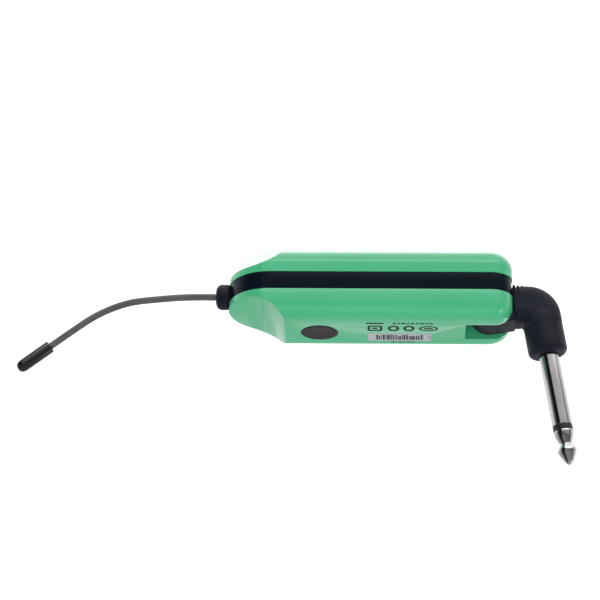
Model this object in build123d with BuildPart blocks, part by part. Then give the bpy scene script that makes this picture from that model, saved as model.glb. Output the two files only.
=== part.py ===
from build123d import *
import os
from math import cos, sin, tan, radians, sqrt

# Wireless guitar transmitter: a two-shell housing with a dark centre band, a hinged arm that
# carries a right-angled 6.35 mm jack plug, and a whip antenna.
# Frame: millimetres, +Z up. The origin is on the flat rest face, in the middle of the housing's
# length and width. +X points to the hinge end, +Z out of the button face.

os.makedirs("parts", exist_ok=True)

# ---- driving dimensions (mm) -------------------------------------------------------------
LEN = 90.3            # housing, nose to hinge end
WID = 30.34           # housing width
HGT = 22.8            # housing height
XN, XE = -45.0, 45.3
HW = WID / 2
BAND_LO, BAND_HI = 8.44, 14.36     # centre band
BAND_IN = 0.25        # band stands back from the shells by this
WALL = 1.8
EDGE_R = 5.5          # rounding of the broad faces' edges
CORNER_R = 7.4        # corners at the hinge end, seen from above
NOSE_A = 13.65        # the nose is half an ellipse, this long
# side profile of the nose: height above the middle plane at each X
# (a straight shoulder facet, then a hollow curve)
RAMP = [(-26.9, 11.4), (-29.7, 8.4), (-31.0, 7.47), (-32.5, 6.66), (-34.0, 6.04), (-35.5, 5.58), (-37.0, 5.25),
        (-39.0, 5.07), (-42.0, 4.98), (-46.5, 4.9)]
MID = HGT / 2

SLOT_X = 30.65        # end wall of the hinge slot
SLOT_HW = 5.9         # half width of the slot
SLOT_Z = 6.7          # floor of the slot
HINGE_X, HINGE_Z = 38.35, 15.4
PIN_R = 1.5
PIN_HALF = 11.0

LEAN = 9.0            # the arm's dip below level at rest, degrees
ARM_HW = 5.5
ARM_LO, ARM_HI = -6.35, 6.5
ELBOW = 15.9          # hinge axis to plug axis
LEG_R = 6.25
LEG_IN = 6.1          # half thickness of the elbow's flat-sided part
RIM_R = 1.8           # rounding of the boot's rim
RIM = 18.0            # elbow to the boot's rim
OUT_R = 10.6          # outside of the elbow
BOOT_HW = 5.8         # half width of the boot
BOOT_LO = -5.5        # its back, opposite the plug
BOOT_A = 7.4          # hinge axis to the start of the boot

JACK_R = 3.175
SHANK_R = 3.0         # the sleeve where the boot grips it
RING_P0, RING_P1 = 41.96, 43.76
TIP_P = 54.85

BTN_X, BTN_Y, BTN_R = -15.85, -1.2, 5.85
BTN_GAP = 0.15
BTN_TOP = 23.0        # stands a little proud of the face

PCB_Z0, PCB_Z1 = 13.6, 14.8
ANT_Z = 11.25
STICKER_X, STICKER_Y = 9.8, -4.85
CABLE_D = 2.2
BEAD_R = 4.15
CAP_D, CAP_LEN = 4.1, 12.7

# ---- helpers: plans and profiles ---------------------------------------------------------


def plan(inset=0.0):
    """The housing seen from above, shrunk by inset: half-elliptic nose, square end with round corners."""
    a, b, r = NOSE_A - inset, HW - inset, max(CORNER_R - inset, 1.0)
    x0, x1 = XN + NOSE_A, XE - inset
    with BuildLine() as line:
        EllipticalCenterArc((x0, 0), a, b, start_angle=90, arc_size=180)
        Line((x0, -b), (x1 - r, -b))
        RadiusArc((x1 - r, -b), (x1, -b + r), -r)
        Line((x1, -b + r), (x1, b - r))
        RadiusArc((x1, b - r), (x1 - r, b), -r)
        Line((x1 - r, b), (x0, b))
    make_face(line.edges())


def side_profile(inset=0.0):
    """The housing seen from the side, both broad faces running down an ogee to the nose."""
    pts = [(x + inset * 0.75, h - inset) for x, h in RAMP]
    up = [(x, MID + h) for x, h in pts]
    dn = [(x, MID - h) for x, h in pts]
    with BuildLine() as line:
        Line(up[0], up[1])
        Spline(*up[1:], tangents=[(-1, -0.8), (-1, -0.02)])
        Line(up[-1], dn[-1])
        Spline(*dn[1:][::-1], tangents=[(1, -0.02), (1, -0.8)])
        Line(dn[1], dn[0])
        Polyline(dn[0], (XE + 5, inset), (XE + 5, HGT - inset), up[0])
    make_face(line.edges())


ARM = Plane(origin=(HINGE_X, 0, HINGE_Z),
            x_dir=(cos(radians(LEAN)), 0, -sin(radians(LEAN))), z_dir=(0, -1, 0))
ARM_DIR = ARM.x_dir
PLUG_DIR = ARM.y_dir
PLUG = Plane(origin=ARM.from_local_coords((ELBOW, 0, 0)), x_dir=ARM.x_dir, z_dir=PLUG_DIR)

TURN = Plane(origin=PLUG.origin, x_dir=ARM_DIR, z_dir=(0, -1, 0))   # for shapes turned about the plug's axis

# ---- housing -----------------------------------------------------------------------------

with BuildPart() as outer:
    with BuildSketch(Plane.XY) as s:
        plan()
    extrude(amount=HGT)
    fillet(outer.faces().sort_by(Axis.Z)[-1].edges(), EDGE_R)
    fillet(outer.faces().sort_by(Axis.Z)[0].edges(), EDGE_R)
    with BuildSketch(Plane.XZ) as s:
        side_profile()
    extrude(amount=HW + 5, both=True, mode=Mode.INTERSECT)

with BuildPart() as cavity:
    with BuildSketch(Plane.XY.offset(WALL)) as s:
        plan(WALL)
    extrude(amount=HGT - 2 * WALL)
    fillet(cavity.faces().sort_by(Axis.Z)[-1].edges(), EDGE_R - WALL)
    fillet(cavity.faces().sort_by(Axis.Z)[0].edges(), EDGE_R - WALL)
    with BuildSketch(Plane.XZ) as s:
        side_profile(WALL)
    extrude(amount=HW + 5, both=True, mode=Mode.INTERSECT)
    # the ears beside the hinge slot stay solid
    with BuildSketch(Plane.XY) as s:
        with Locations((SLOT_X - WALL + 20, 0)):
            Rectangle(40, 40)
    extrude(amount=HGT, mode=Mode.SUBTRACT)

with BuildPart() as slot:
    with BuildSketch(Plane.XY.offset(SLOT_Z)) as s:
        with Locations((SLOT_X + 15, 0)):
            Rectangle(30, 2 * SLOT_HW)
    extrude(amount=30)

with BuildPart() as pin_bore:
    with BuildSketch(Plane.XZ.offset(-PIN_HALF - 0.5)) as s:
        with Locations((HINGE_X, HINGE_Z)):
            Circle(PIN_R + 0.02)
    extrude(amount=2 * PIN_HALF + 1)

with BuildPart() as grommet_seat:
    with BuildSketch(Plane.YZ.offset(XN - 3)) as s:
        with Locations((0, ANT_Z)):
            Circle(BEAD_R + 0.1)
    extrude(amount=3.7)
    with BuildSketch(Plane.YZ.offset(XN - 3)) as s:
        with Locations((0, ANT_Z)):
            Circle(2.4)
    extrude(amount=3 + WALL + 2)

with BuildPart() as button_side_shell:
    add(outer.part)
    add(cavity.part, mode=Mode.SUBTRACT)
    with BuildSketch(Plane.XY.offset(-1)) as s:
        Rectangle(120, 60)
    extrude(amount=BAND_HI + 1, mode=Mode.SUBTRACT)
    # bosses that carry the board
    with BuildSketch(Plane.XY.offset(PCB_Z1)) as s:
        with GridLocations(48, 18, 2, 2):
            Circle(2.3)
    extrude(amount=HGT - WALL + 0.2 - PCB_Z1)
    with BuildSketch(Plane.XY.offset(PCB_Z1)) as s:
        with GridLocations(48, 18, 2, 2):
            Circle(1.0)
    extrude(amount=4.5, mode=Mode.SUBTRACT)
    add(slot.part, mode=Mode.SUBTRACT)
    add(pin_bore.part, mode=Mode.SUBTRACT)
    add(grommet_seat.part, mode=Mode.SUBTRACT)
    # button hole with a small lead-in
    with BuildSketch(Plane.XY.offset(HGT - WALL - 1)) as s:
        with Locations((BTN_X, BTN_Y)):
            Circle(BTN_R + BTN_GAP)
    extrude(amount=5, mode=Mode.SUBTRACT)
    # shallow seat for the sticker
    with BuildSketch(Plane.XY.offset(HGT - 0.12)) as s:
        with Locations((STICKER_X, STICKER_Y)):
            RectangleRounded(20.5, 6.3, 0.5)
    extrude(amount=1, mode=Mode.SUBTRACT)
button_side_shell.part.label = "button_side_shell"

with BuildPart() as rest_side_shell:
    add(outer.part)
    add(cavity.part, mode=Mode.SUBTRACT)
    with BuildSketch(Plane.XY.offset(BAND_LO)) as s:
        Rectangle(120, 60)
    extrude(amount=30, mode=Mode.SUBTRACT)
    add(slot.part, mode=Mode.SUBTRACT)
    add(grommet_seat.part, mode=Mode.SUBTRACT)
    # rails beside the cell
    with BuildSketch(Plane.XY.offset(WALL - 0.2)) as s:
        with Locations((-3, 10.1), (-3, -10.1)):
            Rectangle(32, 1.2)
    extrude(amount=4.7)
rest_side_shell.part.label = "rest_side_shell"

with BuildPart() as centre_band:
    with BuildSketch(Plane.XY.offset(BAND_LO)) as s:
        plan(BAND_IN)
    extrude(amount=BAND_HI - BAND_LO)
    add(cavity.part, mode=Mode.SUBTRACT)
    add(slot.part, mode=Mode.SUBTRACT)
    add(pin_bore.part, mode=Mode.SUBTRACT)
    add(grommet_seat.part, mode=Mode.SUBTRACT)
    # charging socket opening, on the -Y side
    with BuildSketch(Plane.XZ.offset(HW - WALL - 1.0)) as s:
        with Locations((10.0, 12.05)):
            RectangleRounded(8.3, 3.3, 1.0)
    extrude(amount=5, mode=Mode.SUBTRACT)
centre_band.part.label = "centre_band"

# ---- inside the housing ------------------------------------------------------------------

with BuildPart() as circuit_board:
    with BuildSketch(Plane.XY.offset(PCB_Z0)) as s:
        RectangleRounded(54, 25.6, 1.5)
        with GridLocations(48, 18, 2, 2):
            Circle(1.1, mode=Mode.SUBTRACT)
    extrude(amount=PCB_Z1 - PCB_Z0)
circuit_board.part.label = "circuit_board"

with BuildPart() as board_screws:
    with BuildSketch(Plane.XY.offset(PCB_Z0 - 1.3)) as s:
        with GridLocations(48, 18, 2, 2):
            Circle(1.9)
    extrude(amount=1.3)
    chamfer(board_screws.faces().group_by(Axis.Z)[0].edges(), 0.3)
    with BuildSketch(Plane.XY.offset(PCB_Z0)) as s:
        with GridLocations(48, 18, 2, 2):
            Circle(0.97)
    extrude(amount=5.0)
board_screws.part.label = "board_screws"

with BuildPart() as tact_switch:
    with BuildSketch(Plane.XY.offset(PCB_Z1)) as s:
        with Locations((BTN_X, BTN_Y)):
            Rectangle(6, 6)
            Circle(1.75, mode=Mode.SUBTRACT)
    extrude(amount=3.5)
    chamfer(tact_switch.edges().filter_by(Axis.Z), 0.4)
tact_switch.part.label = "tact_switch"

with BuildPart() as switch_plunger:
    with BuildSketch(Plane.XY.offset(PCB_Z1 + 0.8)) as s:
        with Locations((BTN_X, BTN_Y)):
            Circle(1.65)
    extrude(amount=19.2 - PCB_Z1 - 0.8)
switch_plunger.part.label = "switch_plunger"

with BuildPart() as power_button:
    with BuildSketch(Plane.XY.offset(19.2)) as s:
        with Locations((BTN_X, BTN_Y)):
            Circle(7.0)
    extrude(amount=1.65)
    with BuildSketch(Plane.XY.offset(20.8)) as s:
        with Locations((BTN_X, BTN_Y)):
            Circle(BTN_R)
    extrude(amount=BTN_TOP - 20.8)
    fillet(power_button.faces().sort_by(Axis.Z)[-1].edges(), 0.45)
power_button.part.label = "power_button"

with BuildPart() as status_led:
    with BuildSketch(Plane.XY.offset(PCB_Z1)) as s:
        with Locations((BTN_X - 5.4, BTN_Y + 2.5), (BTN_X + 5.4, BTN_Y + 2.5)):
            Rectangle(1.6, 0.9)
    extrude(amount=0.7)
status_led.part.label = "status_led"

with BuildPart() as rf_shield_can:
    with BuildSketch(Plane.XY.offset(PCB_Z1)) as s:
        with Locations((4, 0)):
            RectangleRounded(20, 15, 0.8)
    extrude(amount=2.6)
    fillet(rf_shield_can.faces().sort_by(Axis.Z)[-1].edges(), 0.4)
rf_shield_can.part.label = "rf_shield_can"

with BuildPart() as battery_foam:
    with BuildSketch(Plane.XY.offset(WALL)) as s:
        with Locations((-3, 0)):
            RectangleRounded(29, 17, 1)
    extrude(amount=0.8)
battery_foam.part.label = "battery_foam"

with BuildPart() as battery_cell:
    with BuildSketch(Plane.XY.offset(WALL + 0.8)) as s:
        with Locations((-3, 0)):
            RectangleRounded(32, 18.4, 2.2)
    extrude(amount=6.4)
    fillet(battery_cell.faces().group_by(Axis.Z)[0].edges() + battery_cell.faces().group_by(Axis.Z)[-1].edges(), 1.1)
battery_cell.part.label = "battery_cell"

with BuildPart() as battery_connector:
    with BuildSketch(Plane.XY.offset(PCB_Z0 - 3.4)) as s:
        with Locations((-21, -2)):
            Rectangle(4.2, 6.0)
    extrude(amount=3.4)
battery_connector.part.label = "battery_connector"

with BuildPart() as charge_socket:
    with BuildSketch(Plane.XZ.offset(8.9)) as s:
        with Locations((10.0, 12.05)):
            RectangleRounded(7.6, 2.7, 0.8)
    extrude(amount=HW - 0.55 - 8.9)
    with BuildSketch(Plane.XZ.offset(10.2)) as s:
        with Locations((10.0, 12.05)):
            RectangleRounded(6.9, 2.0, 0.5)
    extrude(amount=6, mode=Mode.SUBTRACT)
    # feet up to the board
    with BuildSketch(Plane.XY.offset(13.3)) as s:
        with Locations((7.4, -10.5), (12.6, -10.5)):
            Rectangle(1.2, 2.2)
    extrude(amount=0.3)
charge_socket.part.label = "charge_socket"

with BuildPart() as socket_tongue:
    with BuildSketch(Plane.XZ.offset(10.2)) as s:
        with Locations((10.0, 12.35)):
            Rectangle(5.4, 0.7)
    extrude(amount=3.6)
socket_tongue.part.label = "socket_tongue"

# ---- hinge -------------------------------------------------------------------------------

with BuildPart() as hinge_pin:
    with BuildSketch(Plane.XZ.offset(-PIN_HALF)) as s:
        with Locations((HINGE_X, HINGE_Z)):
            Circle(PIN_R)
    extrude(amount=2 * PIN_HALF)
    chamfer(hinge_pin.edges().group_by(Axis.Y)[0] + hinge_pin.edges().group_by(Axis.Y)[-1], 0.25)
hinge_pin.part.label = "hinge_pin"

with BuildPart() as friction_washers:
    for y in (SLOT_HW, -SLOT_HW + 0.3):
        with BuildSketch(Plane.XZ.offset(-y)) as s:
            with Locations((HINGE_X, HINGE_Z)):
                Circle(4.2)
                Circle(PIN_R + 0.1, mode=Mode.SUBTRACT)
        extrude(amount=0.3)
friction_washers.part.label = "friction_washers"

with BuildPart() as arm_knuckle:
    with BuildSketch(ARM.offset(-ARM_HW)) as s:
        Circle(-ARM_LO)
        with Locations((BOOT_A / 2, 0)):
            Rectangle(BOOT_A, -2 * ARM_LO)
    extrude(amount=2 * ARM_HW)
    fillet(arm_knuckle.faces().filter_by(Axis.Y).edges(), 0.9)
    # tongue that the boot is moulded on
    with BuildSketch(Plane(origin=ARM.from_local_coords((BOOT_A - 0.5, 0, 0)), x_dir=(0, 1, 0), z_dir=ARM_DIR)) as s:
        RectangleRounded(7.0, 8.4, 1.2)
    extrude(amount=6.4)
    with BuildSketch(ARM.offset(-ARM_HW - 1)) as s:
        Circle(PIN_R + 0.05)
    extrude(amount=2 * ARM_HW + 2, mode=Mode.SUBTRACT)
    # channel for the lead
    with BuildSketch(Plane(origin=ARM.from_local_coords((2.6, 0, 0)), x_dir=(0, 1, 0), z_dir=ARM_DIR)) as s:
        Circle(1.0)
    extrude(amount=14, mode=Mode.SUBTRACT)
arm_knuckle.part.label = "arm_knuckle"

# the elbow boot: flat-sided along the arm, round where it grips the plug
with BuildPart() as arm_boot:
    with BuildSketch(ARM) as s:
        with BuildLine() as line:
            Polyline((BOOT_A, BOOT_LO), (ELBOW + LEG_IN, BOOT_LO), (ELBOW + LEG_IN, 8.0),
                     (ELBOW - LEG_IN, 8.0), (ELBOW - LEG_IN, ARM_HI), (BOOT_A, ARM_HI), close=True)
        make_face()
    extrude(amount=BOOT_HW, both=True)
    outer_corner = arm_boot.edges().filter_by(Axis.Y).sort_by_distance(ARM.from_local_coords((ELBOW + LEG_IN, BOOT_LO, 0)))[0]
    fillet(outer_corner, OUT_R)
    inner_corner = arm_boot.edges().filter_by(Axis.Y).sort_by_distance(ARM.from_local_coords((ELBOW - LEG_IN, ARM_HI, 0)))[0]
    fillet(inner_corner, 1.0)
    start = Vector(*ARM.from_local_coords((BOOT_A, 0, 0)))
    stop = Vector(*ARM.from_local_coords((ELBOW, 8.0, 0)))
    long_edges = [e for e in arm_boot.edges()
                  if abs(abs(e.center().Y) - BOOT_HW) < 0.01
                  and abs((e.center() - start).dot(ARM_DIR)) > 0.05
                  and abs((e.center() - stop).dot(PLUG_DIR)) > 0.05]
    fillet(long_edges, 3.7)
    with BuildSketch(Plane(origin=PLUG.origin, x_dir=(0, 1, 0), z_dir=ARM_DIR)) as s:
        with BuildLine() as line:
            Polyline((0, RIM), (0, 5.0), (LEG_R, 5.0), (LEG_R, RIM - RIM_R))
            RadiusArc((LEG_R, RIM - RIM_R), (LEG_R - RIM_R, RIM), -RIM_R)
            Line((LEG_R - RIM_R, RIM), (0, RIM))
        make_face()
    revolve(axis=Axis(TURN.origin, PLUG_DIR))
    # three ribs where the boot leaves the hinge
    for a0, top in ((8.4, 6.5), (9.65, 6.15), (10.9, 5.85)):
        with BuildSketch(Plane(origin=ARM.from_local_coords((a0, (ARM_HI + 0.1 - top) / 2, 0)),
                               x_dir=(0, 1, 0), z_dir=ARM_DIR)) as s:
            RectangleRounded(2 * BOOT_HW + 0.1, ARM_HI + 0.1 + top, 3.7)
        extrude(amount=0.6)
    # socket for the tongue, room for the terminals, and the plug's seat
    with BuildSketch(Plane(origin=ARM.from_local_coords((BOOT_A - 1, 0, 0)), x_dir=(0, 1, 0), z_dir=ARM_DIR)) as s:
        RectangleRounded(7.0, 8.4, 1.2)
    extrude(amount=1 + 5.9, mode=Mode.SUBTRACT)
    with BuildSketch(PLUG.offset(-1.6)) as s:
        Circle(4.3)
    extrude(amount=RIM - 6.0 + 1.6, mode=Mode.SUBTRACT)
    with BuildSketch(PLUG.offset(RIM - 7.0)) as s:
        Circle(SHANK_R)
    extrude(amount=8.0, mode=Mode.SUBTRACT)
arm_boot.part.label = "arm_boot"

# ---- plug --------------------------------------------------------------------------------


def turned(points):
    """A shape turned about the plug's axis: points are (radius, distance from the elbow)."""
    with BuildLine() as line:
        Polyline(*points, close=True)
    make_face(line.edges())


with BuildPart() as plug_sleeve:
    with BuildSketch(TURN) as s:
        turned([(1.9, RIM - 8.0), (4.25, RIM - 8.0), (4.25, RIM - 6.0), (SHANK_R, RIM - 6.0),
                (SHANK_R, RIM + 0.2), (JACK_R, RIM + 0.35),
                (JACK_R, RING_P0), (1.9, RING_P0)])
    revolve(axis=Axis(TURN.origin, PLUG_DIR))
plug_sleeve.part.label = "plug_sleeve"

with BuildPart() as plug_insulator:
    with BuildSketch(TURN) as s:
        turned([(1.2, RIM - 9.0), (1.88, RIM - 9.0), (1.88, RING_P0), (JACK_R, RING_P0),
                (JACK_R, RING_P1), (1.2, RING_P1)])
    revolve(axis=Axis(TURN.origin, PLUG_DIR))
plug_insulator.part.label = "plug_insulator"

with BuildPart() as plug_tip:
    with BuildSketch(TURN) as s:
        with BuildLine() as line:
            Polyline((0, RIM - 10.5), (1.18, RIM - 10.5), (1.18, RING_P1), (JACK_R, RING_P1), (JACK_R, RING_P1 + 0.75))
            Spline((JACK_R, RING_P1 + 0.75), (2.86, RING_P1 + 1.9), (2.40, RING_P1 + 3.05), (1.99, RING_P1 + 4.15), (2.06, RING_P1 + 4.6),
                   (2.70, RING_P1 + 5.55), (3.02, RING_P1 + 6.45), (2.82, RING_P1 + 7.25), (1.98, RING_P1 + 8.85),
                   (1.12, TIP_P - 0.75), (0, TIP_P), tangents=[(-0.2, 1), (-1, 0)])
            Line((0, TIP_P), (0, RIM - 10.5))
        make_face()
    revolve(axis=Axis(TURN.origin, PLUG_DIR))
plug_tip.part.label = "plug_tip"

with BuildPart() as ground_lug:
    with BuildSketch(PLUG.offset(RIM - 8.5)) as s:
        Circle(3.4)
        Circle(1.95, mode=Mode.SUBTRACT)
    extrude(amount=0.5)
    with BuildSketch(PLUG.offset(RIM - 12.0)) as s:
        with Locations((0, 3.1)):
            Rectangle(2.2, 0.5)
    extrude(amount=3.6)
ground_lug.part.label = "ground_lug"

# lead from the tip's terminal through the elbow to the hinge
with BuildPart() as signal_lead:
    with BuildLine() as line:
        FilletPolyline(ARM.from_local_coords((ELBOW, RIM - 10.6, 0)), ARM.from_local_coords((ELBOW, 0, 0)),
                       ARM.from_local_coords((3.4, 0, 0)), radius=3.0)
    with BuildSketch(Plane(origin=line.line @ 0, z_dir=line.line % 0)) as s:
        Circle(0.9)
    sweep()
signal_lead.part.label = "signal_lead"

# ---- antenna -----------------------------------------------------------------------------

with BuildPart() as antenna_grommet:
    with BuildSketch(Plane.XZ) as s:
        with BuildLine() as line:
            Polyline((-49.25, ANT_Z + 1.1), (-49.25, ANT_Z + BEAD_R), (-44.3, ANT_Z + BEAD_R), (-44.3, ANT_Z + 2.35),
                     (-42.8, ANT_Z + 2.35), (-42.8, ANT_Z + 2.7), (-41.4, ANT_Z + 2.7), (-41.4, ANT_Z + 1.1), close=True)
        make_face()
    revolve(axis=Axis((0, 0, ANT_Z), (1, 0, 0)))
    bead = antenna_grommet.edges().filter_by(GeomType.CIRCLE).filter_by(lambda e: abs(e.radius - BEAD_R) < 0.01)
    fillet(bead.sort_by(Axis.X)[0], 1.9)
    fillet(antenna_grommet.edges().filter_by(GeomType.CIRCLE).filter_by(lambda e: abs(e.radius - BEAD_R) < 0.01).sort_by(Axis.X)[-1], 0.5)
antenna_grommet.part.label = "antenna_grommet"

with BuildPart() as antenna_feed:
    with BuildLine() as line:
        FilletPolyline((-49.25, 0, ANT_Z), (-38.0, 0, ANT_Z), (-33.0, 0, 12.4), (-24.5, 0, 12.4), radius=5.0)
    with BuildSketch(Plane(origin=line.line @ 0, z_dir=line.line % 0)) as s:
        Circle(1.1)
    sweep()
antenna_feed.part.label = "antenna_feed"

# the whip outside the housing: its route, as control points
ROUTE = [(-49.25, 11.25), (-58.0, 11.15), (-68.0, 12.05), (-77.5, 13.15), (-87.0, 17.2), (-95.0, 23.2), (-101.73, 28.55)]
route = [Vector(x, 0, z) for x, z in ROUTE]
radii = []
for a, b, c in zip(route, route[1:], route[2:]):
    turn = (b - a).get_angle(c - b)
    radii.append(0.45 * min((b - a).length, (c - b).length) / tan(radians(turn / 2)))
print("antenna bends, mm:", [round(r, 1) for r in radii], "runs", [round((b - a).length, 1) for a, b in zip(route, route[1:])])
with BuildPart() as antenna_cable:
    with BuildLine() as line:
        FilletPolyline(*route, radius=radii)
    with BuildSketch(Plane(origin=line.line @ 0, z_dir=line.line % 0)) as s:
        Circle(CABLE_D / 2)
    sweep()
    cable_len = sum(e.length for e in line.line.edges())
print("antenna length", cable_len, "volume", antenna_cable.part.volume, "expected", 3.14159265 * CABLE_D ** 2 / 4 * cable_len)
antenna_cable.part.label = "antenna_cable"

cap_dir = (route[-1] - route[-2]).normalized()
CAP = Plane(origin=route[-1], x_dir=(0, 1, 0), z_dir=cap_dir)
with BuildPart() as antenna_cap:
    with BuildSketch(CAP) as s:
        Circle(CAP_D / 2)
    extrude(amount=CAP_LEN)
    ends = antenna_cap.edges().filter_by(GeomType.CIRCLE).sort_by(Axis((0, 0, 0), tuple(cap_dir)))
    fillet(ends[-1], CAP_D / 2 - 0.05)
    fillet(antenna_cap.edges().filter_by(GeomType.CIRCLE).sort_by(Axis((0, 0, 0), tuple(cap_dir)))[0], 0.45)
antenna_cap.part.label = "antenna_cap"

with BuildPart() as id_sticker:
    with BuildSketch(Plane.XY.offset(HGT - 0.12)) as s:
        with Locations((STICKER_X, STICKER_Y)):
            RectangleRounded(20.3, 6.1, 0.4)
    extrude(amount=0.14)
id_sticker.part.label = "id_sticker"

# ---- output ------------------------------------------------------------------------------

for piece in (button_side_shell, rest_side_shell, centre_band, circuit_board, board_screws, tact_switch,
              switch_plunger, power_button, status_led, rf_shield_can, battery_foam, battery_cell,
              battery_connector, charge_socket, socket_tongue, hinge_pin, friction_washers, arm_knuckle,
              arm_boot, plug_sleeve, plug_insulator, plug_tip, ground_lug, signal_lead, antenna_grommet,
              antenna_feed, antenna_cable, antenna_cap, id_sticker):
    export_step(piece.part, f"parts/{piece.part.label}.step")
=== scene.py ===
import math

import bmesh
import bpy
import numpy as np
from mathutils import Matrix, Vector


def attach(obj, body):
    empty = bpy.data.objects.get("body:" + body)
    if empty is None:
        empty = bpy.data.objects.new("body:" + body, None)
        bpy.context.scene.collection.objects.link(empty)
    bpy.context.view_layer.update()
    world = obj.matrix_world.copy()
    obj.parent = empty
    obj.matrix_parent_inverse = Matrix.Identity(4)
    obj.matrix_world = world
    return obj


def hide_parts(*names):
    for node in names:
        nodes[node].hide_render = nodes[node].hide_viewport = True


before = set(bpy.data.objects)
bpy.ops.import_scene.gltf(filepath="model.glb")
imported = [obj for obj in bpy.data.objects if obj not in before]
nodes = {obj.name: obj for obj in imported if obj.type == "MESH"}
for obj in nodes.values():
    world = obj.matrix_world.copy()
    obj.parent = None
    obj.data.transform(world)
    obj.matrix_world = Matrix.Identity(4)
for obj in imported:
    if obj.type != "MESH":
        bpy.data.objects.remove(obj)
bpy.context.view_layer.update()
MM = 0.001

# ------------------------------------------------------------------ camera
M = np.array([[0.999265, -0.019335, 0.033108], [0.004976, 0.921633, 0.388031], [-0.038016, -0.387581, 0.921052]])
T = np.array([52.378, -6.195, 722.495])
A = np.stack([M[:, 0], -M[:, 2], M[:, 1]], axis=1)
b = T + M @ np.array([-30.65, -11.4, 15.17])
loc = -A.T @ b * MM
right, up, back = A[0], -A[1], -A[2]
cam_data = bpy.data.cameras.new("camera")
cam_data.sensor_width = 36.0
cam_data.sensor_fit = "HORIZONTAL"
cam_data.lens = 138.0
cam_data.clip_start, cam_data.clip_end = 0.01, 20.0
cam = bpy.data.objects.new("camera", cam_data)
rot = Matrix([[right[i], up[i], back[i]] for i in range(3)]).to_4x4()
cam.matrix_world = Matrix.Translation(Vector(loc)) @ rot
bpy.context.scene.collection.objects.link(cam)
bpy.context.scene.camera = cam


def new_object(name, mesh):
    o = bpy.data.objects.new(name, mesh)
    bpy.context.scene.collection.objects.link(o)
    return o


# ------------------------------------------------------------------ antenna whip
ROUTE = [(-49.25, 11.25), (-58.0, 11.15), (-68.0, 12.05), (-77.5, 13.15), (-87.0, 17.2), (-95.0, 23.2), (-101.73, 28.55)]
curve = bpy.data.curves.new("antenna_whip", "CURVE")
curve.dimensions = "3D"
sp = curve.splines.new("NURBS")
sp.points.add(len(ROUTE) - 1)
for p, (x, z) in zip(sp.points, ROUTE):
    p.co = (x * MM, 0, z * MM, 1)
sp.order_u = 3
sp.use_endpoint_u = True
sp.resolution_u = 24
curve.bevel_depth = 1.1 * MM
curve.bevel_resolution = 10
curve.use_fill_caps = True
whip = new_object("antenna_whip", curve)


# ------------------------------------------------------------------ materials
def node_mat(name):
    m = bpy.data.materials.new(name)
    m.use_nodes = True
    t = m.node_tree
    return m, t, t.nodes["Principled BSDF"]


def add(t, kind, **k):
    n = t.nodes.new(kind)
    for a, v in k.items():
        setattr(n, a, v)
    return n


def surface(name, dark, light, rough=(0.2, 0.3), metallic=0.0, scale=60.0, grain=900.0, bump=0.02, coat=0.0,
            coat_rough=0.05, spec=0.5, sheen=0.0, ior=1.46, aniso=0.0, stretch=(1, 1, 1), detail=4.0, sss=0.0):
    """A moulded, plated or sheathed surface: colour drifts a little at two scales, and roughness and bump follow a finer grain."""
    m, t, p = node_mat(name)
    tc = add(t, "ShaderNodeTexCoord")
    mp = add(t, "ShaderNodeMapping")
    mp.inputs["Scale"].default_value = stretch
    t.links.new(tc.outputs["Object"], mp.inputs["Vector"])
    n1 = add(t, "ShaderNodeTexNoise")
    n1.inputs["Scale"].default_value = scale
    n1.inputs["Detail"].default_value = detail
    t.links.new(mp.outputs["Vector"], n1.inputs["Vector"])
    n2 = add(t, "ShaderNodeTexNoise")
    n2.inputs["Scale"].default_value = grain
    n2.inputs["Detail"].default_value = 3.0
    t.links.new(mp.outputs["Vector"], n2.inputs["Vector"])
    ramp = add(t, "ShaderNodeValToRGB")
    ramp.color_ramp.elements[0].position, ramp.color_ramp.elements[1].position = 0.3, 0.7
    ramp.color_ramp.elements[0].color = (*dark, 1)
    ramp.color_ramp.elements[1].color = (*light, 1)
    t.links.new(n1.outputs["Fac"], ramp.inputs["Fac"])
    t.links.new(ramp.outputs["Color"], p.inputs["Base Color"])
    mr = add(t, "ShaderNodeMapRange")
    mr.inputs["To Min"].default_value, mr.inputs["To Max"].default_value = rough
    mr.inputs["From Min"].default_value, mr.inputs["From Max"].default_value = 0.3, 0.7
    t.links.new(n2.outputs["Fac"], mr.inputs["Value"])
    t.links.new(mr.outputs["Result"], p.inputs["Roughness"])
    bp = add(t, "ShaderNodeBump")
    bp.inputs["Strength"].default_value = bump
    bp.inputs["Distance"].default_value = 0.0002
    t.links.new(n2.outputs["Fac"], bp.inputs["Height"])
    t.links.new(bp.outputs["Normal"], p.inputs["Normal"])
    p.inputs["Metallic"].default_value = metallic
    p.inputs["Coat Weight"].default_value = coat
    p.inputs["Coat Roughness"].default_value = coat_rough
    p.inputs["Specular IOR Level"].default_value = spec
    p.inputs["Sheen Weight"].default_value = sheen
    p.inputs["IOR"].default_value = ior
    p.inputs["Anisotropic"].default_value = aniso
    if sss:
        p.inputs["Subsurface Weight"].default_value = sss
        p.inputs["Subsurface Scale"].default_value = 0.0015
        p.inputs["Subsurface Radius"].default_value = (0.6, 1.0, 0.8)
    return m


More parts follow.
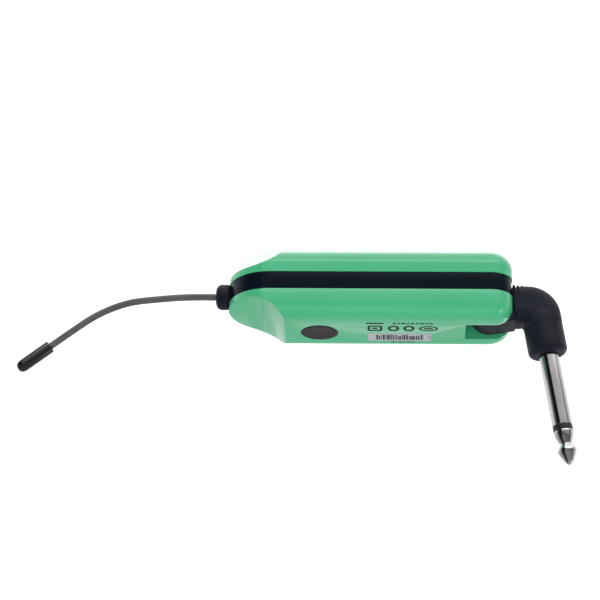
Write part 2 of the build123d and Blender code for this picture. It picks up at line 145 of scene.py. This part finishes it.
green = surface("mint_shell", (0.050, 0.405, 0.196), (0.060, 0.435, 0.214), rough=(0.17, 0.24), scale=25, grain=2600,
                bump=0.03, coat=0.3, coat_rough=0.05)
band = surface("dark_band_gloss", (0.0018, 0.0050, 0.0100), (0.0030, 0.0070, 0.0130), rough=(0.14, 0.22), scale=40,
               grain=2200, bump=0.02, spec=0.08)
rubber = surface("black_rubber", (0.0045, 0.0060, 0.0120), (0.0090, 0.0105, 0.0190), rough=(0.40, 0.54), scale=90,
                 grain=3200, bump=0.12, sheen=0.02, spec=0.2)
black_plastic = surface("black_plastic", (0.010, 0.010, 0.013), (0.017, 0.017, 0.021), rough=(0.30, 0.42), scale=80,
                        grain=2500, bump=0.06)
gloss_black = surface("gloss_black_cap", (0.004, 0.004, 0.006), (0.008, 0.008, 0.011), rough=(0.10, 0.16), scale=60,
                      grain=1800, bump=0.02, coat=0.5, coat_rough=0.04)
sheath = surface("cable_sheath", (0.062, 0.062, 0.066), (0.088, 0.088, 0.092), rough=(0.34, 0.46), scale=120, grain=3000,
                 bump=0.08)
button_mat = surface("button_face", (0.014, 0.011, 0.015), (0.024, 0.018, 0.024), rough=(0.42, 0.54), scale=300,
                     grain=3500, bump=0.10, spec=0.25)
nickel = surface("plated_metal", (0.52, 0.51, 0.505), (0.60, 0.59, 0.58), rough=(0.10, 0.17), metallic=1.0, scale=220,
                 grain=2400, bump=0.015, stretch=(1, 1, 1))
steel = surface("steel", (0.42, 0.42, 0.44), (0.52, 0.52, 0.54), rough=(0.28, 0.4), metallic=1.0, scale=150, grain=2000,
                bump=0.03, stretch=(1, 8, 1))
board = surface("board_green", (0.010, 0.060, 0.030), (0.018, 0.085, 0.042), rough=(0.3, 0.45), scale=260, grain=1500,
                bump=0.05)
lens = surface("led_lens", (0.75, 0.80, 0.76), (0.86, 0.9, 0.86), rough=(0.1, 0.2), scale=400, grain=2000, bump=0.02)
foam = surface("foam", (0.03, 0.03, 0.03), (0.06, 0.06, 0.06), rough=(0.8, 0.95), scale=900, grain=2600, bump=0.5)
foil = surface("cell_foil", (0.50, 0.52, 0.55), (0.62, 0.64, 0.67), rough=(0.25, 0.4), metallic=0.8, scale=60, grain=900,
               bump=0.1)
white_plastic = surface("white_plastic", (0.66, 0.64, 0.58), (0.76, 0.74, 0.68), rough=(0.35, 0.5), scale=120, grain=2000,
                        bump=0.05)
ink = surface("printed_ink", (0.003, 0.026, 0.016), (0.005, 0.036, 0.022), rough=(0.5, 0.65), scale=500, grain=4000,
              bump=0.05, spec=0.3)
film = surface("sticker_film", (0.34, 0.36, 0.375), (0.42, 0.44, 0.455), rough=(0.35, 0.45), scale=200, grain=3000, bump=0.03)
bar_ink = surface("bar_ink", (0.014, 0.014, 0.017), (0.024, 0.025, 0.029), rough=(0.45, 0.6), scale=600, grain=3500,
                  bump=0.03, spec=0.3)

CAD_MATS = {"circuit_board": board, "board_screws": steel, "tact_switch": black_plastic, "status_led": lens,
            "rf_shield_can": steel, "battery_foam": foam, "battery_cell": foil, "battery_connector": white_plastic,
            "charge_socket": steel, "socket_tongue": black_plastic, "hinge_pin": steel, "friction_washers": white_plastic,
            "antenna_feed": sheath, "switch_plunger": black_plastic, "ground_lug": steel, "signal_lead": sheath,
            "arm_knuckle": rubber, "button_side_shell": green, "rest_side_shell": green, "centre_band": band,
            "arm_boot": rubber, "plug_sleeve": nickel, "plug_insulator": black_plastic, "plug_tip": nickel,
            "antenna_grommet": rubber, "antenna_cable": sheath, "antenna_cap": gloss_black, "id_sticker": film,
            "power_button": button_mat}
for n, m in CAD_MATS.items():
    nodes[n].data.materials.clear()
    nodes[n].data.materials.append(m)


# ------------------------------------------------------------------ mesh helpers
def finish_mesh(o, m, body, replaces=(), angle=40):
    o.data.materials.clear()
    o.data.materials.append(m)
    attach(o, body)
    if replaces:
        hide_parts(*replaces)
    return o


def apply_modifiers(o):
    dg = bpy.context.evaluated_depsgraph_get()
    me = bpy.data.meshes.new_from_object(o.evaluated_get(dg))
    o.modifiers.clear()
    old = o.data
    o.data = me
    bpy.data.meshes.remove(old)


def refined(node, name, width, angle=32, segs=3, rim=None):
    """A CAD piece's shape with its hard edges broken, as a moulding has them; rim gives some edges a larger radius."""
    bm = bmesh.new()
    bm.from_mesh(nodes[node].data)
    bmesh.ops.remove_doubles(bm, verts=bm.verts, dist=2e-6)
    bmesh.ops.dissolve_limit(bm, angle_limit=math.radians(0.6), verts=bm.verts, edges=bm.edges)
    big = max(width, rim[0]) if rim else width
    layer = bm.edges.layers.float.new("bevel_weight_edge")
    for e in bm.edges:
        if len(e.link_faces) == 2 and e.calc_face_angle(0) > math.radians(angle):
            mid = (e.verts[0].co + e.verts[1].co) / 2 / MM
            e[layer] = 1.0 if rim and rim[1](mid) else width / big
    me = bpy.data.meshes.new(name)
    bm.to_mesh(me)
    bm.free()
    o = new_object(name, me)
    bv = o.modifiers.new("edge", "BEVEL")
    bv.width = big * MM
    bv.segments = segs
    bv.limit_method = "WEIGHT"
    bv.harden_normals = False
    bv.miter_outer = "MITER_ARC"
    bv.use_clamp_overlap = True
    apply_modifiers(o)
    for f in o.data.polygons:
        f.use_smooth = True
    o.data.set_sharp_from_angle(angle=math.radians(34))
    return o


def lathe(name, profile, origin, axis, segs=96, side=(0, 1, 0)):
    """profile: (radius mm, distance mm) from end to end; closed on the axis where the radius is 0."""
    w = Vector(axis).normalized()
    u = Vector(side) - w * Vector(side).dot(w)
    u.normalize()
    v = w.cross(u)
    o0 = Vector(origin)
    bm = bmesh.new()
    rings = []
    for r, d in profile:
        c = o0 + w * d
        if r < 1e-6:
            rings.append([bm.verts.new(c * MM)])
        else:
            rings.append([bm.verts.new((c + (u * math.cos(2 * math.pi * k / segs) + v * math.sin(2 * math.pi * k / segs)) * r) * MM)
                          for k in range(segs)])
    for a, c in zip(rings, rings[1:]):
        for k in range(segs):
            k2 = (k + 1) % segs
            if len(a) == 1 and len(c) == 1:
                continue
            if len(a) == 1:
                bm.faces.new((a[0], c[k2], c[k]))
            elif len(c) == 1:
                bm.faces.new((a[k], a[k2], c[0]))
            else:
                bm.faces.new((a[k], a[k2], c[k2], c[k]))
    bmesh.ops.recalc_face_normals(bm, faces=bm.faces)
    me = bpy.data.meshes.new(name)
    bm.to_mesh(me)
    bm.free()
    for f in me.polygons:
        f.use_smooth = True
    me.set_sharp_from_angle(angle=math.radians(38))
    return new_object(name, me)


def rounded(profile, radius, steps=6):
    """Rounds the corners of a lathe profile."""
    out = [profile[0]]
    for k in range(1, len(profile) - 1):
        p0, p1, p2 = (Vector(profile[k - 1]), Vector(profile[k]), Vector(profile[k + 1]))
        r = radius[k] if isinstance(radius, (list, tuple)) else radius
        d0, d1 = (p0 - p1), (p2 - p1)
        if r <= 0 or d0.length < 1e-9 or d1.length < 1e-9:
            out.append(tuple(p1))
            continue
        turn = math.pi - d0.angle(d1)
        cut = min(r * math.tan(turn / 2), d0.length * 0.48, d1.length * 0.48)
        a, c = p1 + d0.normalized() * cut, p1 + d1.normalized() * cut
        for i in range(steps + 1):
            s = i / steps
            q = a * (1 - s) ** 2 + p1 * 2 * s * (1 - s) + c * s ** 2
            out.append(tuple(q))
    out.append(profile[-1])
    return out


def spline_points(pts, n=10):
    """A smooth line through points."""
    out = []
    P = [Vector(p) for p in pts]
    P = [P[0] * 2 - P[1]] + P + [P[-1] * 2 - P[-2]]
    for k in range(1, len(P) - 2):
        for i in range(n):
            s = i / n
            a, c, d, e = P[k - 1], P[k], P[k + 1], P[k + 2]
            q = 0.5 * ((2 * c) + (d - a) * s + (2 * a - 5 * c + 4 * d - e) * s * s + (3 * c - a - 3 * d + e) * s ** 3)
            out.append(tuple(q))
    out.append(tuple(P[-2]))
    return out


# ------------------------------------------------------------------ arm frame
LEAN = math.radians(9.0)
HX, HZ = 38.35, 15.4
ARM_DIR = Vector((math.cos(LEAN), 0, -math.sin(LEAN)))
PLUG_DIR = Vector((math.sin(LEAN), 0, math.cos(LEAN)))
HINGE = Vector((HX, 0, HZ))
ELBOW = HINGE + ARM_DIR * 15.9
RIM, RING0, RING1, TIP = 18.0, 41.96, 43.76, 54.85

# ------------------------------------------------------------------ housing
def ramp_rim(q):
    """The rim between the hollow nose and the side wall."""
    y = 15.17 if q.x > -31.35 else 15.17 * math.sqrt(max(0.0, 1 - ((q.x + 31.35) / 13.65) ** 2))
    return q.x < -29.6 and abs(q.z - 11.4) > 4.2 and abs(abs(q.y) - y) < 0.9


shell_top = refined("button_side_shell", "shell_button_side", 0.3, rim=(0.45, ramp_rim))
finish_mesh(shell_top, green, "housing", ["button_side_shell"])
shell_rest = refined("rest_side_shell", "shell_rest_side", 0.3, rim=(0.45, ramp_rim))
finish_mesh(shell_rest, green, "housing", ["rest_side_shell"])
band_o = refined("centre_band", "band_ring", 0.12)
finish_mesh(band_o, band, "housing", ["centre_band"])

# ------------------------------------------------------------------ button: a shallow dish with a rounded rim
button = lathe("button_cap", rounded([(0, 22.80), (3.2, 22.84), (5.05, 22.96), (5.84, 22.93), (5.84, 20.85), (6.98, 20.85), (6.98, 19.22), (0, 19.22)],
                                     [0, 1.0, 0.6, 0.4, 0, 0.15, 0.15, 0]), (-15.85, -1.2, 0), (0, 0, 1), 128)
finish_mesh(button, button_mat, "button", ["power_button"])

# ------------------------------------------------------------------ plug
sleeve = lathe("plug_barrel", rounded([(1.92, RIM - 7.9), (4.2, RIM - 7.9), (4.2, RIM - 6.1), (2.99, RIM - 6.1), (2.99, RIM + 0.2),
                                       (3.172, RIM + 0.38), (3.172, RING0 - 0.02), (1.92, RING0 - 0.02), (1.92, RIM - 7.9)],
                                      [0, 0.1, 0.1, 0.05, 0.05, 0.08, 0.22, 0.05, 0]), ELBOW, PLUG_DIR, 128)
finish_mesh(sleeve, nickel, "arm", ["plug_sleeve"])
ring = lathe("plug_ring", rounded([(1.21, RIM - 8.9), (1.86, RIM - 8.9), (1.86, RING0 + 0.02), (3.165, RING0 + 0.02), (3.165, RING1 - 0.02), (1.21, RING1 - 0.02), (1.21, RIM - 8.9)],
                                  [0, 0.05, 0.05, 0.15, 0.15, 0.05, 0]), ELBOW, PLUG_DIR, 96)
finish_mesh(ring, black_plastic, "arm", ["plug_insulator"])
tip_line = spline_points([(3.165, RING1 + 0.75), (2.86, RING1 + 1.9), (2.40, RING1 + 3.05), (1.99, RING1 + 4.15), (2.06, RING1 + 4.6),
                          (2.70, RING1 + 5.55), (3.02, RING1 + 6.45), (2.82, RING1 + 7.25), (1.98, RING1 + 8.85), (1.12, TIP - 0.75),
                          (0.55, TIP - 0.2), (0.0, TIP - 0.02)], 8)
tip = lathe("plug_point", [(0, RIM - 10.4), (1.17, RIM - 10.4), (1.17, RING1 + 0.01), (3.02, RING1 + 0.01), (3.12, RING1 + 0.05),
                           (3.165, RING1 + 0.16)] + tip_line[:-1] + [(0, TIP - 0.02)], ELBOW, PLUG_DIR, 128)
finish_mesh(tip, nickel, "arm", ["plug_tip"])

# ------------------------------------------------------------------ boot: the elbow's flat sides melt into its round leg
def boot_mesh():
    bm = bmesh.new()
    bm.from_mesh(nodes["arm_boot"].data)
    bmesh.ops.remove_doubles(bm, verts=bm.verts, dist=2e-6)
    me = bpy.data.meshes.new("boot_skin")
    bm.to_mesh(me)
    bm.free()
    o = new_object("boot_skin", me)
    rm = o.modifiers.new("remesh", "REMESH")
    rm.mode = "VOXEL"
    rm.voxel_size = 0.2 * MM
    apply_modifiers(o)

    def ap():
        co = np.zeros(len(o.data.vertices) * 3)
        o.data.vertices.foreach_get("co", co)
        co = co.reshape(-1, 3) / MM
        rel = co - np.array(HINGE)
        return co, rel @ np.array(ARM_DIR), rel @ np.array(PLUG_DIR)

    co, a, p = ap()
    # the two forms of the elbow melt together; the ribs and the rim stay as moulded
    grp = o.vertex_groups.new(name="melt")
    w = np.clip((a - 11.9) / 1.2, 0, 1) * np.clip((12.5 - p) / 2.5, 0, 1)
    for k in np.unique(np.round(w, 2)):
        if k > 0:
            grp.add([int(i) for i in np.nonzero(np.round(w, 2) == k)[0]], float(k), "REPLACE")
    sm = o.modifiers.new("melt", "SMOOTH")
    sm.factor, sm.iterations, sm.vertex_group = 0.6, 70, "melt"
    s2 = o.modifiers.new("soft", "SMOOTH")
    s2.factor, s2.iterations = 0.5, 5
    apply_modifiers(o)
    co, a, p = ap()
    # the fold where the inside of the elbow pinches: a sharp short line with a faint second one above it
    push = np.zeros(len(a))
    for k0, k1, deep, wide in ((np.array([9.4, 6.5]), np.array([12.0, 5.0]), 0.50, 0.42),
                               (np.array([11.2, 5.6]), np.array([14.6, 4.2]), 0.26, 0.50)):
        d = k1 - k0
        s = np.clip(((a - k0[0]) * d[0] + (p - k0[1]) * d[1]) / (d @ d), 0, 1)
        dist = np.hypot(a - k0[0] - s * d[0], p - k0[1] - s * d[1])
        push = np.maximum(push, deep * np.exp(-(dist / wide) ** 2) * (1 - 0.7 * s))
    y = co[:, 1]
    co[:, 1] -= np.sign(y) * push * np.clip((np.abs(y) - 2.5) / 2.0, 0, 1)
    o.data.vertices.foreach_set("co", (co * MM).ravel())
    for f in o.data.polygons:
        f.use_smooth = True
    o.data.update()
    return o


boot = boot_mesh()
finish_mesh(boot, rubber, "arm", ["arm_boot"])
knuckle = refined("arm_knuckle", "knuckle_skin", 0.3)
finish_mesh(knuckle, rubber, "arm", ["arm_knuckle"])

# ------------------------------------------------------------------ antenna
bead = [(1.12, -49.2), (2.1, -49.2)]
bead += [(2.1 + 2.02 * math.sin(t), -47.25 - 1.95 * math.cos(t)) for t in [math.pi / 2 * i / 10 for i in range(1, 11)]]
bead += [(4.12, -46.2)] + [(2.9 + 1.22 * math.cos(t), -45.75 + 1.4 * math.sin(t)) for t in [math.pi / 2 * i / 8 for i in range(1, 9)]]
bead += [(2.33, -44.34), (2.33, -42.8), (2.66, -42.8), (2.66, -41.45), (1.12, -41.45), (1.12, -49.2)]
grommet = lathe("grommet_bead", bead, (0, 0, 11.25), (1, 0, 0), 96)
finish_mesh(grommet, rubber, "housing", ["antenna_grommet"])
end = Vector((ROUTE[-1][0], 0, ROUTE[-1][1]))
prev = Vector((ROUTE[-2][0], 0, ROUTE[-2][1]))
cap_dir = (end - prev).normalized()
cap = lathe("antenna_end_cap", rounded([(0, 0.02), (2.03, 0.02), (2.03, 10.7), (1.75, 11.75), (1.0, 12.5), (0, 12.66)], [0, 0.35, 0.8, 0.5, 0.5, 0]),
            end, cap_dir, 64)
finish_mesh(cap, gloss_black, "housing", ["antenna_cap"])
whip.data.materials.append(sheath)
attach(whip, "housing")
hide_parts("antenna_cable")


# ------------------------------------------------------------------ sticker and printed marks (generic shapes)
FACE = 22.8


def slab(name, outlines, z0, z1):
    """Closed thin solids from flat outlines in mm: each is (outer points, inner points or None)."""
    bm = bmesh.new()
    for outer, inner in outlines:
        n = len(outer)
        o0 = [bm.verts.new((x * MM, y * MM, z0 * MM)) for x, y in outer]
        o1 = [bm.verts.new((x * MM, y * MM, z1 * MM)) for x, y in outer]
        for k in range(n):
            bm.faces.new((o0[k], o0[(k + 1) % n], o1[(k + 1) % n], o1[k]))
        if inner is None:
            bm.faces.new(o1)
            bm.faces.new(o0[::-1])
        else:
            i0 = [bm.verts.new((x * MM, y * MM, z0 * MM)) for x, y in inner]
            i1 = [bm.verts.new((x * MM, y * MM, z1 * MM)) for x, y in inner]
            for k in range(n):
                k2 = (k + 1) % n
                bm.faces.new((i0[k2], i0[k], i1[k], i1[k2]))
                bm.faces.new((o1[k], o1[k2], i1[k2], i1[k]))
                bm.faces.new((o0[k2], o0[k], i0[k], i0[k2]))
    bmesh.ops.recalc_face_normals(bm, faces=bm.faces)
    me = bpy.data.meshes.new(name)
    bm.to_mesh(me)
    bm.free()
    return new_object(name, me)


def rect(cx, cy, w, h, r=0.0, n=5):
    if r <= 0:
        return [(cx - w / 2, cy - h / 2), (cx + w / 2, cy - h / 2), (cx + w / 2, cy + h / 2), (cx - w / 2, cy + h / 2)]
    out = []
    for sx, sy, a0 in ((1, -1, -90), (1, 1, 0), (-1, 1, 90), (-1, -1, 180)):
        for i in range(n + 1):
            t = math.radians(a0 + 90 * i / n)
            out.append((cx + sx * (w / 2 - r) + r * math.cos(t), cy + sy * (h / 2 - r) + r * math.sin(t)))
    return out


def oval(cx, cy, a, b_, n=48):
    return [(cx + a * math.cos(2 * math.pi * k / n), cy + b_ * math.sin(2 * math.pi * k / n)) for k in range(n)]


SX, SY = 9.8, -4.85
sticker = slab("sticker_label", [(rect(SX, SY, 20.2, 6.0, 0.4), None)], FACE - 0.118, FACE + 0.015)
finish_mesh(sticker, film, "housing", ["id_sticker"])
rng = np.random.default_rng(7)
bars, x = [], SX - 7.5
while x < SX + 7.3:
    w = float(rng.choice([0.20, 0.30, 0.46, 0.62]))
    short = rng.random() < 0.25
    bars.append((rect(x + w / 2, SY + 0.1 - (0.5 if short else 0), w, 3.2 if short else 4.2), None))
    x += w + float(rng.choice([0.17, 0.24, 0.34]))
bars.append((rect(SX + 9.35, SY + 0.1, 0.22, 2.0), None))
bar_o = slab("sticker_bars", bars, FACE + 0.012, FACE + 0.024)
finish_mesh(bar_o, bar_ink, "housing")
marks = [(rect(1.85, 6.85, 5.5, 1.1), None),
         (rect(1.85, 2.75, 4.7, 4.6, 0.9), rect(1.85, 2.75, 3.1, 2.7, 0.5)),
         (rect(1.85, 2.75, 1.7, 1.3, 0.4), None),
         (oval(7.75, 2.7, 1.85, 2.35), oval(7.75, 2.7, 0.95, 1.25)),
         (oval(12.65, 2.7, 1.85, 2.35), oval(12.65, 2.7, 0.95, 1.25)),
         (oval(18.8, 2.6, 3.05, 2.15), oval(18.8, 2.6, 2.35, 1.35)),
         (rect(18.8, 2.6, 2.9, 1.1, 0.4), None)]
x = 7.4
for w in (1.1, 0.8, 1.5, 0.6, 1.2, 0.9, 1.6, 0.7, 1.0):
    marks.append((rect(x + w / 2, 6.8, w, 1.0), None))
    x += w + 0.42
x = 7.2
for w in (0.9, 0.6, 1.2, 0.7, 1.0, 0.8):
    marks.append((rect(x + w / 2, -8.75, w, 0.75), None))
    x += w + 0.4
mark_o = slab("printed_marks", marks, FACE - 0.02, FACE + 0.012)
finish_mesh(mark_o, ink, "housing")

# ------------------------------------------------------------------ floor and light
fl = bpy.data.meshes.new("floor")
fl.from_pydata([(-6, -6, -0.0003), (6, -6, -0.0003), (6, 6, -0.0003), (-6, 6, -0.0003)], [], [(0, 1, 2, 3)])
floor = new_object("floor", fl)
fm, ft, fp = node_mat("floor_pale")
fp.inputs["Base Color"].default_value = (0.5, 0.5, 0.5, 1)
fp.inputs["Roughness"].default_value = 0.8
fp.inputs["Specular IOR Level"].default_value = 0.1
fp.inputs["Emission Color"].default_value = (1, 1, 1, 1)
fp.inputs["Emission Strength"].default_value = 0.86
floor.data.materials.append(fm)
floor.visible_glossy = False

world = bpy.data.worlds.new("world")
bpy.context.scene.world = world
world.use_nodes = True
wt = world.node_tree
bg = wt.nodes["Background"]
bg.inputs["Strength"].default_value = 1.0
sep = wt.nodes.new("ShaderNodeSeparateXYZ")
wt.links.new(wt.nodes.new("ShaderNodeTexCoord").outputs["Generated"], sep.inputs["Vector"])


def wmap(src, lo, hi, smooth=True):
    n = wt.nodes.new("ShaderNodeMapRange")
    n.interpolation_type = "SMOOTHSTEP" if smooth else "LINEAR"
    n.inputs["From Min"].default_value, n.inputs["From Max"].default_value = lo, hi
    wt.links.new(sep.outputs[src], n.inputs["Value"])
    return n.outputs["Result"]


def wmath(op, a_, b_):
    n = wt.nodes.new("ShaderNodeMath")
    n.operation = op
    for i, v in enumerate((a_, b_)):
        if isinstance(v, (int, float)):
            n.inputs[i].default_value = v
        else:
            wt.links.new(v, n.inputs[i])
    return n.outputs[0]


def zramp(stops):
    r = wt.nodes.new("ShaderNodeValToRGB")
    e = r.color_ramp.elements
    e[0].position, e[0].color = stops[0][0], (stops[0][1],) * 3 + (1,)
    e[1].position, e[1].color = stops[-1][0], (stops[-1][1],) * 3 + (1,)
    for pos, v in stops[1:-1]:
        q = e.new(pos)
        q.color = (v, v, v, 1)
    wt.links.new(wmap("Z", -1.0, 1.0, False), r.inputs["Fac"])
    return r.outputs["Color"]


front = zramp([(0.0, 1.5), (0.10, 1.5), (0.19, 0.60), (0.27, 0.16), (0.42, 0.12), (0.60, 0.10), (0.75, 0.30), (1.0, 0.42)])
rear = zramp([(0.0, 1.5), (0.12, 1.4), (0.22, 1.0), (0.42, 1.1), (0.55, 0.85), (0.68, 0.52), (0.80, 0.48), (1.0, 0.45)])
mix = wt.nodes.new("ShaderNodeMix")
mix.data_type = "RGBA"
wt.links.new(wmap("Y", 0.35, -0.25), mix.inputs[0])
wt.links.new(front, mix.inputs[6])
wt.links.new(rear, mix.inputs[7])
# a bright card and a dark card in front, which the plated parts mirror
card = wmath("MULTIPLY", wmath("MULTIPLY", wmap("X", -0.44, -0.36), wmap("X", 0.95, 0.80)), wmap("Y", 0.25, 0.45))
card = wmath("MULTIPLY", wmath("MULTIPLY", card, wmap("Z", -0.85, -0.6)), wmap("Z", 0.3, 0.0))
dark = wmath("MULTIPLY", wmath("MULTIPLY", wmap("X", -0.92, -0.84), wmap("X", -0.40, -0.46)), wmap("Y", -0.05, 0.1))
level = wmath("ADD", wmath("SUBTRACT", 1.0, wmath("MULTIPLY", dark, 0.9)), wmath("MULTIPLY", card, 3.4))
bg_mix = wt.nodes.new("ShaderNodeMix")
bg_mix.data_type = "RGBA"
bg_mix.blend_type = "MULTIPLY"
bg_mix.inputs[0].default_value = 1.0
wt.links.new(mix.outputs[2], bg_mix.inputs[6])
wt.links.new(level, bg_mix.inputs[7])
wt.links.new(bg_mix.outputs[2], bg.inputs["Color"])


def area(name, loc_, target, size, power, sy=None, glossy=True):
    d = bpy.data.lights.new(name, "AREA")
    d.shape = "RECTANGLE"
    d.size = size
    d.size_y = sy or size
    d.energy = power
    o = bpy.data.objects.new(name, d)
    o.location = loc_
    o.rotation_euler = (Vector(target) - Vector(loc_)).to_track_quat("-Z", "Y").to_euler()
    o.visible_glossy = glossy
    bpy.context.scene.collection.objects.link(o)
    return o


area("key", (-0.05, 0.37, 0.67), (0, 0, 0.01), 0.45, 4.1, glossy=False)
area("rear", (0.1, -0.6, 0.5), (0, 0, 0.02), 0.5, 0.8, glossy=False)
area("streak", (0.54, 0.084, 0.43), (0, 0, 0.01), 0.10, 0.35, sy=0.30)
area("kick", (0.50, -0.60, 0.21), (0.045, 0, 0.015), 0.20, 0.5)

sc = bpy.context.scene
sc.view_settings.view_transform = "Standard"
sc.view_settings.look = "None"
sc.view_settings.exposure = 0.0
